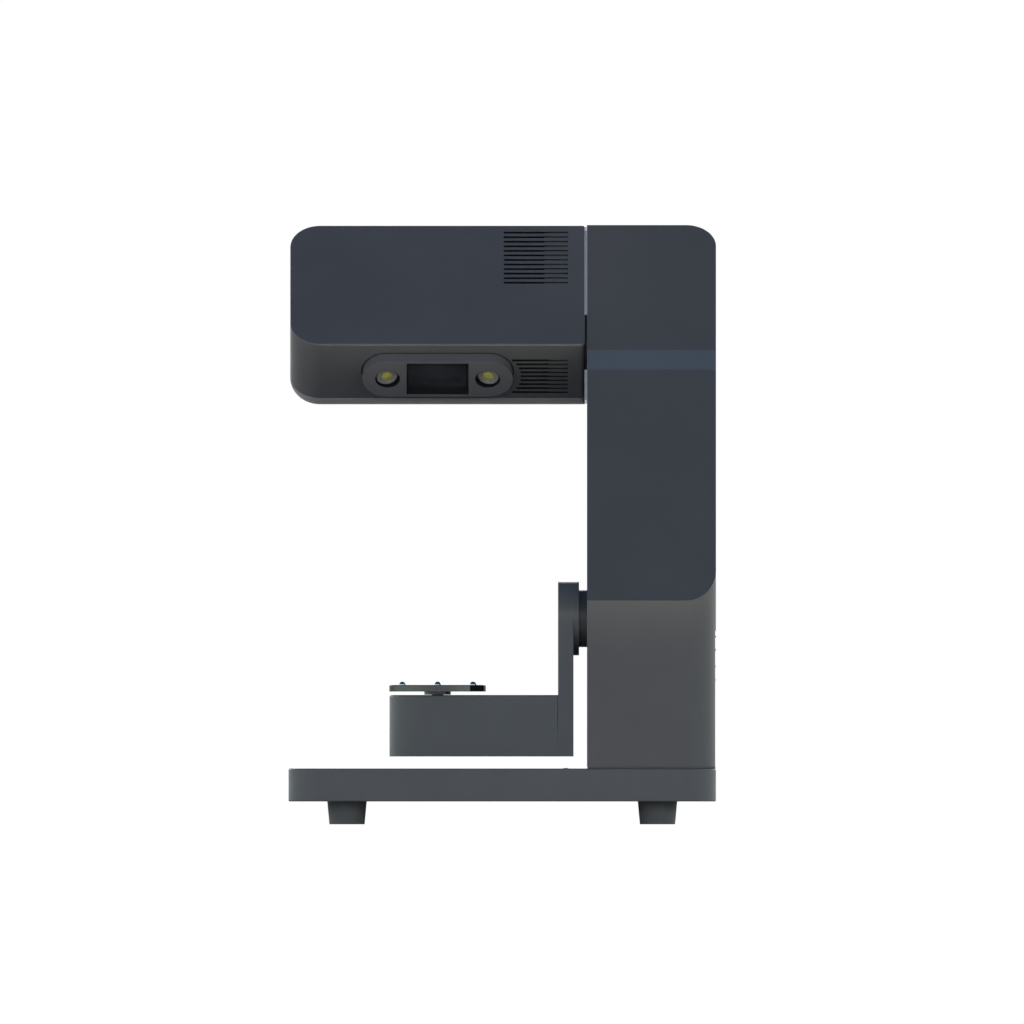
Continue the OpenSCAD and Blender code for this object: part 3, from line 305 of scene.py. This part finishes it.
def rubber(name, colour):
    g = Graph(name)
    soft = g.soft_normal(0.5 * MM)
    fine = g.noise(1100.0, 4.0, 0.65)
    dust = g.noise(60.0, 5.0, 0.7)
    body = g.mix(g.span(dust, 0.45, 0.75, 0.0, 0.35), colour, scaled(colour, 1.7))
    body = g.mix(g.math("MULTIPLY", g.edge_mask(soft), 0.3), body, scaled(colour, 1.8))
    return g.surface(Base_Color=body, Roughness=g.span(dust, 0.3, 0.7, 0.62, 0.8),
                     Normal=g.bump(fine, 0.25, 0.08 * MM, soft))


def tinted_glass(name, tint, see_through):
    """A thin tinted pane that shows what is behind it, with a faint film of dust on its polished face."""
    g = Graph(name)
    smear = g.noise(70.0, 4.0, 0.6)
    clear = g.add("BsdfTransparent", {"Color": tint}).outputs["BSDF"]
    film = g.mix(g.span(smear, 0.35, 0.7, 0.0, 1.0), scaled(tint, 0.08), scaled(tint, 0.13))
    shine = g.span(smear, 0.3, 0.7, 0.03, 0.08)
    body = g.add("BsdfPrincipled", {"Base Color": film, "Roughness": shine, "IOR": 1.52}).outputs["BSDF"]
    mixed = g.add("MixShader", {"Fac": see_through})
    g.tree.links.new(body, mixed.inputs[1])
    g.tree.links.new(clear, mixed.inputs[2])
    return g.finish(mixed.outputs[0])


def coated_lens(name, colour, shaded_rim):
    """A coated front element with painted shade: its colour darkens from the bright middle towards the rim,
    where its face turns away from the camera.
    """
    g = Graph(name)
    edge_on = g.add("LayerWeight", {"Blend": 0.35}).outputs["Facing"]
    bloom = g.noise(700.0, 3.0, 0.6)
    # Painted shade: the colour darkens where the face is seen edge-on
    body = g.mix(g.span(edge_on, 0.1, 0.8, 0.0, 1.0), colour, shaded_rim)
    body = g.mix(g.span(bloom, 0.35, 0.65, 0.0, 0.5), body, scaled(colour, 1.35))
    return g.surface(Base_Color=body, Metallic=0.0, Roughness=g.span(bloom, 0.3, 0.7, 0.22, 0.34),
                     Coat_Weight=0.6, Coat_Roughness=0.05)


def translucent_seal(name, tint, see_through):
    """A soft silicone strip that lets some light through."""
    g = Graph(name)
    haze = g.noise(90.0, 3.0, 0.6)
    clear = g.add("BsdfTransparent", {"Color": tint}).outputs["BSDF"]
    milk = g.mix(g.span(haze, 0.3, 0.7, 0.0, 1.0), scaled(tint, 0.10), scaled(tint, 0.16))
    body = g.add("BsdfPrincipled", {"Base Color": milk, "Roughness": 0.55}).outputs["BSDF"]
    mixed = g.add("MixShader", {"Fac": see_through})
    g.tree.links.new(body, mixed.inputs[1])
    g.tree.links.new(clear, mixed.inputs[2])
    return g.finish(mixed.outputs[0])


def circuit_board(name, colour):
    g = Graph(name)
    cells = g.add("TexVoronoi", {"Vector": g.place(), "Scale": 420.0}, distance="CHEBYCHEV")
    tracks = g.span(cells.outputs["Distance"], 0.40, 0.46, 0.0, 1.0)
    body = g.mix(tracks, colour, scaled(colour, 2.2))
    return g.surface(Base_Color=body, Roughness=0.35, Normal=g.bump(tracks, 0.2, 0.03 * MM))


FINISHES = {
    "base_shell": lambda n: moulded(n, (0.063, 0.071, 0.076), rough=0.38),
    "cover_plate": lambda n: moulded(n, (0.030, 0.033, 0.035), rough=0.5, metal=0.4, grain=900),
    "rubber": lambda n: rubber(n, (0.046, 0.052, 0.055)),
    "column_shell": lambda n: moulded(n, (0.061, 0.064, 0.066), rough=0.38),
    "rear_panels": lambda n: moulded(n, (0.050, 0.055, 0.060)),
    "accent": lambda n: moulded(n, (0.072, 0.087, 0.106), rough=0.36, relief=0.05),
    "side_panel": lambda n: moulded(n, (0.056, 0.062, 0.066), grain=1100),
    "head_shell": lambda n: moulded(n, (0.059, 0.063, 0.069), rough=0.36, edge_wear_and_highlight=0.04, edge=0.1 * MM),
    # The tray's light grey is painted light: lighter than the housing so that its down-facing strip reads as
    # lit
    "head_tray": lambda n: moulded(n, (0.195, 0.190, 0.200), rough=0.36),
    "bezel": lambda n: moulded(n, (0.076, 0.080, 0.087), rough=0.2, edge=0.2 * MM),
    "window_glass": lambda n: tinted_glass(n, (0.30, 0.34, 0.42), 0.35),
    "lens_metal": lambda n: milled(n, (0.15, 0.15, 0.155), rough=0.4, metal=0.1),
    "lens_coating": lambda n: coated_lens(n, (0.26, 0.29, 0.05), (0.14, 0.17, 0.04)),
    "arm_shell": lambda n: moulded(n, (0.055, 0.064, 0.068), rough=0.38),
    "arm_cover": lambda n: moulded(n, (0.030, 0.033, 0.035), rough=0.62),
    "turntable_metal": lambda n: turned(n, (0.078, 0.080, 0.085), centre_of("turntable_disc"), 0.12),
    "balls": lambda n: milled(n, (0.25, 0.29, 0.31), rough=0.2, relief=0.01),
    "neck_metal": lambda n: milled(n, (0.030, 0.036, 0.048), rough=0.35, metal=0.6),
    "screw_steel": lambda n: milled(n, (0.42, 0.43, 0.44), rough=0.3),
    "black_plastic": lambda n: moulded(n, (0.014, 0.014, 0.016)),
    "port_metal": lambda n: milled(n, (0.42, 0.43, 0.45), rough=0.28),
    "button_metal": lambda n: milled(n, (0.50, 0.51, 0.53), rough=0.25),
    "circuit_board": lambda n: circuit_board(n, (0.012, 0.070, 0.036)),
    "plate_steel": lambda n: milled(n, (0.38, 0.39, 0.40), rough=0.35, stretch=(1, 40, 1)),
    "frame_aluminium": lambda n: milled(n, (0.55, 0.56, 0.58), rough=0.35, stretch=(40, 1, 1)),
    "bearing_steel": lambda n: milled(n, (0.60, 0.61, 0.63), rough=0.15),
    "shaft_steel": lambda n: milled(n, (0.19, 0.20, 0.20), rough=0.3, metal=0.6),
    "gear_steel": lambda n: milled(n, (0.42, 0.43, 0.45), rough=0.28),
    "pinion_brass": lambda n: milled(n, (0.58, 0.44, 0.18), rough=0.25),
    "motor_case": lambda n: moulded(n, (0.018, 0.018, 0.020), metal=0.3),
    "motor_can": lambda n: milled(n, (0.42, 0.43, 0.44), rough=0.25, stretch=(1, 1, 40)),
    "optics_black": lambda n: moulded(n, (0.006, 0.006, 0.007), edge_wear_and_highlight=0.1, edge=0.1 * MM),
}


def dress_nodes():
    """Gives every CAD node the material of its slot, and returns the materials by slot."""
    made = {slot: build(slot) for slot, build in FINISHES.items()}
    for part in frame["record"]["subparts"]:
        for holder in NODES[part["node"]].material_slots:
            holder.material = made[part["material_slot"]]
    return made


# ---------------------------------------------------------------- small pieces

OUT_OF_LOWER_WALL = (TILT + math.radians(90), "X")
TO_THE_RIGHT = (math.radians(90), "Y")


def barrel_front(side):
    """The frame at the middle of a barrel's front: Z points out along the lens axis."""
    half = half_of("lens_barrels", side)
    low, high = corners_of(half)
    turned_in = facing((low + high) / 2, OUT_OF_LOWER_WALL, (-side * TOE_IN, "Y"))
    inverse = turned_in.inverted()
    front = max((inverse @ point).z for point in half)
    return turned_in @ Matrix.Translation((0, 0, front))


def tube_to_face(place, face_place, foot, mouth, hole, thick, steps=72):
    """A tube along Z of its place, from a square foot to a mouth cut level with a slanting face."""
    to_face = face_place.inverted()
    form = bmesh.new()
    rows = []
    for radius, cut in ((hole, False), (hole, True), (hole - thick, True), (hole - thick, False)):
        row = []
        for i in range(steps):
            turn = 2 * math.pi * i / steps
            start = Vector((radius * math.cos(turn), radius * math.sin(turn), 0))
            near = (to_face @ (place @ start)).z
            far = (to_face @ (place @ (start + Vector((0, 0, 1))))).z
            height = (mouth - near) / (far - near) if cut else foot
            row.append(form.verts.new((start.x, start.y, height)))
        rows.append(row)
    bridge(form, rows)
    return form


def add_lens_details(made):
    """A retaining ring on each lens front, and a black sleeve in the hole round its barrel that paints the
    shade on the hole's wall.
    """
    below_face, foot, hole, thick = 0.15 * MM, -6.0 * MM, 8.17 * MM, 0.15 * MM
    ring = [(3.75, -0.80), (4.30, -0.86), (4.95, -0.42), (4.85, -0.34), (4.0, -0.50), (3.75, -0.66)]
    face_place = facing(centre_of("projector_window"), OUT_OF_LOWER_WALL)
    mouth = extent("optics_bezel", face_place)[1].z - below_face
    for side, word in ((-1, "left"), (1, "right")):
        place = barrel_front(side)
        add_piece(f"lens_retainer_{word}", lathe(ring), place, "housing", made["lens_metal"])
        # The black sleeve is painted shade on the wall of the lens's hole
        form = tube_to_face(place, face_place, foot, mouth, hole, thick)
        add_piece(f"lens_hole_shade_{word}", form, place, "housing", made["optics_black"])


def add_bezel_groove_shade(made):
    """A black strip that fills the gap between the bezel and the wall, just below the wall's face, as painted
    shade in the groove.
    """
    half_straight, hole, thick, depth, below_wall = 33.6 * MM, 17.37 * MM, 0.84 * MM, 2.4 * MM, 0.08 * MM
    steps = 48
    place = facing(centre_of("projector_window"), OUT_OF_LOWER_WALL)
    wall = extent("head_front_cover", place)[1].z
    foot, top = wall - depth, wall - below_wall
    form = bmesh.new()
    rows = []
    for radius, z in ((hole, foot), (hole, top), (hole - thick, top), (hole - thick, foot)):
        row = []
        for end in (1, -1):
            for i in range(steps + 1):
                turn = math.pi * (i / steps - 0.5)
                x = end * (half_straight + radius * math.cos(turn))
                row.append(form.verts.new((x, end * radius * math.sin(turn), z)))
        rows.append(row)
    bridge(form, rows)
    # The black strip is painted shade in the groove round the bezel
    add_piece("bezel_groove_shade", form, place, "housing", made["optics_black"])


def add_projector_lens(made):
    """The projector's own lens, seen dimly through its window."""
    low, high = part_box("projector_window")
    place = facing((low + high) / 2, OUT_OF_LOWER_WALL)
    barrel = lathe([(5.2, -4.6), (6.8, -4.6), (6.8, -2.2), (6.5, -1.9), (5.6, -1.9), (5.2, -2.6)])
    add_piece("projector_lens_ring", barrel, place, "housing", made["optics_black"])
    glass = lathe([*((r, z - 4.0) for r, z in dome(5.1, 1.2)), (5.1, -5.0), (0, -5.0)])
    add_piece("projector_lens", glass, place, "housing", made["lens_coating"])


def add_window_recess_shade(made):
    """A black sheet on the sloping walls of the window's recess, as painted shade on those walls."""
    gap, slope, clear, thick, below_face = 0.1 * MM, 1.0 * MM, 0.05 * MM, 0.3 * MM, 0.2 * MM
    place = facing(centre_of("projector_window"), OUT_OF_LOWER_WALL)
    pane = extent("projector_window", place)[1]
    face = extent("optics_bezel", place)[1].z
    base = (pane.x + gap - clear, pane.y + gap - clear)
    mouth = (base[0] + slope, base[1] + slope)
    form = bmesh.new()
    sleeve(form, (0, 0), base, mouth, (pane.z + clear, face - below_face), thick)
    # The black sheet is painted shade on the recess's walls
    add_piece("window_recess_shade", form, place, "housing", made["optics_black"])


# The head's slots. Their ends are measured from its left side, the first upper slot from its lower end, and
# the first lower slot from the wall's upper edge. Each is cut through up to the split, and blind after it.
SLOT_START, SLOT_SPLIT, SLOT_END = 142.4 * MM, 169.2 * MM, 185.2 * MM
SLOT_WIDTH, THROUGH_DEPTH, BLIND_DEPTH = 1.9 * MM, 2.45 * MM, 0.97 * MM
UPPER_COUNT, UPPER_PITCH, UPPER_FIRST = 12, 4.29 * MM, 105.5 * MM
LOWER_COUNT, LOWER_PITCH, LOWER_FIRST, LOWER_SPLIT = 9, 3.73 * MM, 15.1 * MM, SLOT_SPLIT + 3.2 * MM
# The lower slots start on an arc round the right camera, measured from the middle between the cameras
ARC_CENTRE, ARC_RADIUS = 33.6 * MM, 22.0 * MM


def line_slot(form, starts, split, ends, y, face):
    """Black sleeves in one slot, as painted shade on its walls: far in as far as the split, and shallow in
    the blind rest.
    """
    clear, thick, below_face = 0.03 * MM, 0.12 * MM, 0.08 * MM
    for x0, x1, depth in ((starts, split, THROUGH_DEPTH), (split, ends, BLIND_DEPTH)):
        half = ((x1 - x0) / 2 - clear, SLOT_WIDTH / 2 - clear)
        sleeve(form, ((x0 + x1) / 2, y), half, half, (face - depth, face - below_face), thick)


def add_upper_vent_shade(made):
    place = facing(centre_of("head_front_cover"), (TILT, "X"))
    low, high = extent("head_front_cover", place)
    form = bmesh.new()
    for i in range(UPPER_COUNT):
        y = low.y + UPPER_FIRST - i * UPPER_PITCH
        line_slot(form, low.x + SLOT_START, low.x + SLOT_SPLIT, low.x + SLOT_END, y, high.z)
    # The black sleeves are painted shade in the slots
    add_piece("upper_vent_shade", form, place, "housing", made["optics_black"])


def add_lower_vent_shade(made):
    place = facing(centre_of("projector_window"), OUT_OF_LOWER_WALL)
    low, high = extent("head_front_cover", place)
    form = bmesh.new()
    for i in range(LOWER_COUNT):
        off_middle = (i - (LOWER_COUNT - 1) / 2) * LOWER_PITCH
        starts = ARC_CENTRE + math.sqrt(ARC_RADIUS ** 2 - off_middle ** 2)
        y = high.y - LOWER_FIRST - i * LOWER_PITCH
        line_slot(form, starts, low.x + LOWER_SPLIT, low.x + SLOT_END, y, high.z)
    # The black sleeves are painted shade in the slots
    add_piece("lower_vent_shade", form, place, "housing", made["optics_black"])


def add_head_seal(made):
    """A translucent dust seal in the gap between the head and the column, set in from the head's outline."""
    place = facing(centre_of("head_front_cover"), (TILT, "X"))
    low, high = extent("head_front_cover", place)
    back = extent("head_rear_cover", place)[0].z
    column = extent("column_upper_housing", place)[0].x
    inset, width, clear = 0.4 * MM, 1.8 * MM, 0.05 * MM
    front_radius, rear_radius = 1.5, 12.5
    near, far = high.x + clear, column - clear
    form = bmesh.new()
    rows = []
    for x, more in ((near, 0), (far, 0), (far, width), (near, width)):
        edge = inset + more
        corners = ((low.y + edge, high.z - edge, front_radius), (high.y - edge, high.z - edge, front_radius),
                   (high.y - edge, back + edge, rear_radius), (low.y + edge, back + edge, rear_radius))
        rows.append([form.verts.new((x, y, z)) for y, z in rounded_corners(corners)])
    bridge(form, rows)
    seal = translucent_seal("head_seal", (0.67, 0.705, 0.74), 0.90)
    add_piece("head_dust_seal", form, place, "housing", seal)


def rounded_corners(corners, steps=6):
    """Points round a rectangle of (a, b, radius in mm) corners, given in order, with each corner rounded."""
    points = []
    for k, (a, b, radius) in enumerate(corners):
        before = Vector(corners[k - 1][:2])
        after = Vector(corners[(k + 1) % len(corners)][:2])
        corner = Vector((a, b))
        to_before = (before - corner).normalized() * radius * MM
        to_after = (after - corner).normalized() * radius * MM
        middle = corner + to_before + to_after
        for i in range(steps + 1):
            t = math.pi / 2 * i / steps
            points.append(tuple(middle - to_after * math.cos(t) - to_before * math.sin(t)))
    return points


def add_button_light(made):
    """The light ring set into the power button's face."""
    low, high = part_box("power_button")
    middle = (low + high) / 2
    place = facing((high.x, middle.y, middle.z), TO_THE_RIGHT)
    ring = lathe([(2.85, -0.7), (3.35, -0.7), (3.35, -0.12), (3.28, -0.05), (2.92, -0.05), (2.85, -0.12)])
    add_piece("power_button_light", ring, place, "button", made["balls"])


def add_socket_details(made):
    """The power inlet's sprung sleeve and the data port's four contacts."""
    inlet = centre_of("dc_inlet")
    port = centre_of("usb_port")
    mouth_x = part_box("side_panel")[1].x
    place = facing((mouth_x, inlet.y, inlet.z), TO_THE_RIGHT)
    spring = lathe([(3.35, -5.2), (3.65, -5.2), (3.65, -0.9), (3.55, -0.7), (3.4, -0.7), (3.35, -0.9)])
    add_piece("inlet_sleeve", spring, place, "housing", made["port_metal"])
    recess, from_middle_y, from_middle_z = 7.4 * MM, 1.35 * MM, 1.66 * MM
    for row, up in (("upper", 1), ("lower", -1)):
        for column, back in (("front", -1), ("rear", 1)):
            strip = rounded_block((3.6, 1.0, 0.16), 0.05)
            spot = (mouth_x - recess, port.y + back * from_middle_y, port.z + up * from_middle_z)
            add_piece(f"data_contact_{row}_{column}", strip, Matrix.Translation(spot), "housing",
                      made["pinion_brass"])


# ---------------------------------------------------------------- stage

def add_lamp(name, place, aim, size, spread, power, colour):
    """A rectangular lamp, with the angle of its beam in degrees. The camera doesn't see the lamp itself."""
    light = bpy.data.lights.new(name, "AREA")
    light.shape = "RECTANGLE"
    light.size, light.size_y = size
    light.energy = power
    light.color = colour
    light.spread = math.radians(spread)
    lamp = bpy.data.objects.new(name, light)
    bpy.context.scene.collection.objects.link(lamp)
    lamp.visible_camera = False
    lamp.location = place
    lamp.rotation_euler = (Vector(aim) - Vector(place)).to_track_quat("-Z", "Y").to_euler()


def add_lamps():
    """Two low warm lamps in front of the base, both aimed past the front of the head."""
    # The edge of this wide beam lights the head's lower wall
    add_lamp("kicker", place=(0.02, -0.32, 0.02), aim=(0.01, -0.09, 0.31), size=(0.40, 0.06), spread=30,
             power=0.24, colour=(1.0, 0.87, 0.62))
    # This narrow beam faintly lights the top of the head and the column beside the gap between them
    add_lamp("corner_kicker", place=(0.065, -0.40, 0.02), aim=(0.060, -0.11, 0.30), size=(0.05, 0.04),
             spread=14, power=0.25, colour=(1.0, 0.90, 0.74))


HORIZON = (1.01, 1.01, 1.01)
LOW_SKY = (2.80, 2.76, 3.08)
HIGH_SKY = (0.10, 0.14, 0.13)
ZENITH = (0.07, 0.12, 0.32)
SIDE_GLOW = (0.30, 0.55, 0.25)
SKY_STRENGTH = 3.1


def make_world():
    """A white horizon, a bright band above it, a dim blue ceiling, and a glow low down on both sides."""
    world = bpy.data.worlds.new("studio")
    bpy.context.scene.world = world
    world.use_nodes = True
    tree = world.node_tree
    tree.nodes.clear()
    direction = tree.nodes.new("ShaderNodeTexCoord").outputs["Generated"]
    parts = tree.nodes.new("ShaderNodeSeparateXYZ")
    tree.links.new(direction, parts.inputs[0])
    sideways = tree.nodes.new("ShaderNodeMath")
    sideways.operation = "ABSOLUTE"
    tree.links.new(parts.outputs["X"], sideways.inputs[0])

    def ramp(source, *stops):
        """Colours along a 0 to 1 value, from (position, colour) stops."""
        node = tree.nodes.new("ShaderNodeValToRGB")
        for extra in stops[2:]:
            node.color_ramp.elements.new(0.5)
        for element, (position, colour) in zip(node.color_ramp.elements, stops):
            element.position = position
            element.color = (*scaled(colour, 1 / SKY_STRENGTH), 1)
        tree.links.new(source, node.inputs[0])
        return node.outputs[0]

    def blend(kind, a, b):
        node = tree.nodes.new("ShaderNodeMix")
        node.data_type = "RGBA"
        node.blend_type = kind
        node.inputs["Factor"].default_value = 1.0
        tree.links.new(a, node.inputs[6])
        tree.links.new(b, node.inputs[7])
        return node.outputs[2]

    dark, full = (0, 0, 0), (SKY_STRENGTH,) * 3
    upright = ramp(parts.outputs["Z"], (0.05, HORIZON), (0.13, LOW_SKY), (0.29, LOW_SKY), (0.45, HIGH_SKY),
                   (0.69, HIGH_SKY), (0.87, ZENITH))
    beside = ramp(sideways.outputs[0], (0.35, dark), (0.85, SIDE_GLOW))
    low = ramp(parts.outputs["Z"], (0.15, full), (0.45, dark))
    back = tree.nodes.new("ShaderNodeBackground")
    back.inputs["Strength"].default_value = SKY_STRENGTH
    tree.links.new(blend("ADD", upright, blend("MULTIPLY", beside, low)), back.inputs["Color"])
    out = tree.nodes.new("ShaderNodeOutputWorld")
    tree.links.new(back.outputs[0], out.inputs["Surface"])


def make_floor():
    mesh = bpy.data.meshes.new("floor")
    form = bmesh.new()
    bmesh.ops.create_grid(form, x_segments=2, y_segments=2, size=6.0)
    form.to_mesh(mesh)
    form.free()
    floor = bpy.data.objects.new("floor", mesh)
    bpy.context.scene.collection.objects.link(floor)
    g = Graph("floor_paint")
    tone = g.noise(3.0, 3.0)
    paint = g.mix(g.span(tone, 0.3, 0.7, 0.0, 1.0), (0.90, 0.80, 0.68), (0.92, 0.82, 0.70))
    floor.data.materials.append(g.surface(Base_Color=paint, Roughness=0.6))


def make_camera():
    data = bpy.data.cameras.new("camera")
    data.type = "ORTHO"
    data.ortho_scale = VIEW_SPAN
    camera = bpy.data.objects.new("camera", data)
    bpy.context.scene.collection.objects.link(camera)
    camera.location = (VIEW_CENTRE[0], -VIEW_DISTANCE, VIEW_CENTRE[1])
    camera.rotation_euler = (math.radians(90), 0, 0)
    bpy.context.scene.camera = camera


made = dress_nodes()
add_lens_details(made)
add_bezel_groove_shade(made)
add_projector_lens(made)
add_socket_details(made)
add_window_recess_shade(made)
add_upper_vent_shade(made)
add_lower_vent_shade(made)
add_head_seal(made)
add_button_light(made)
make_world()
make_floor()
make_camera()
add_lamps()
bpy.context.scene.view_settings.view_transform = "Standard"
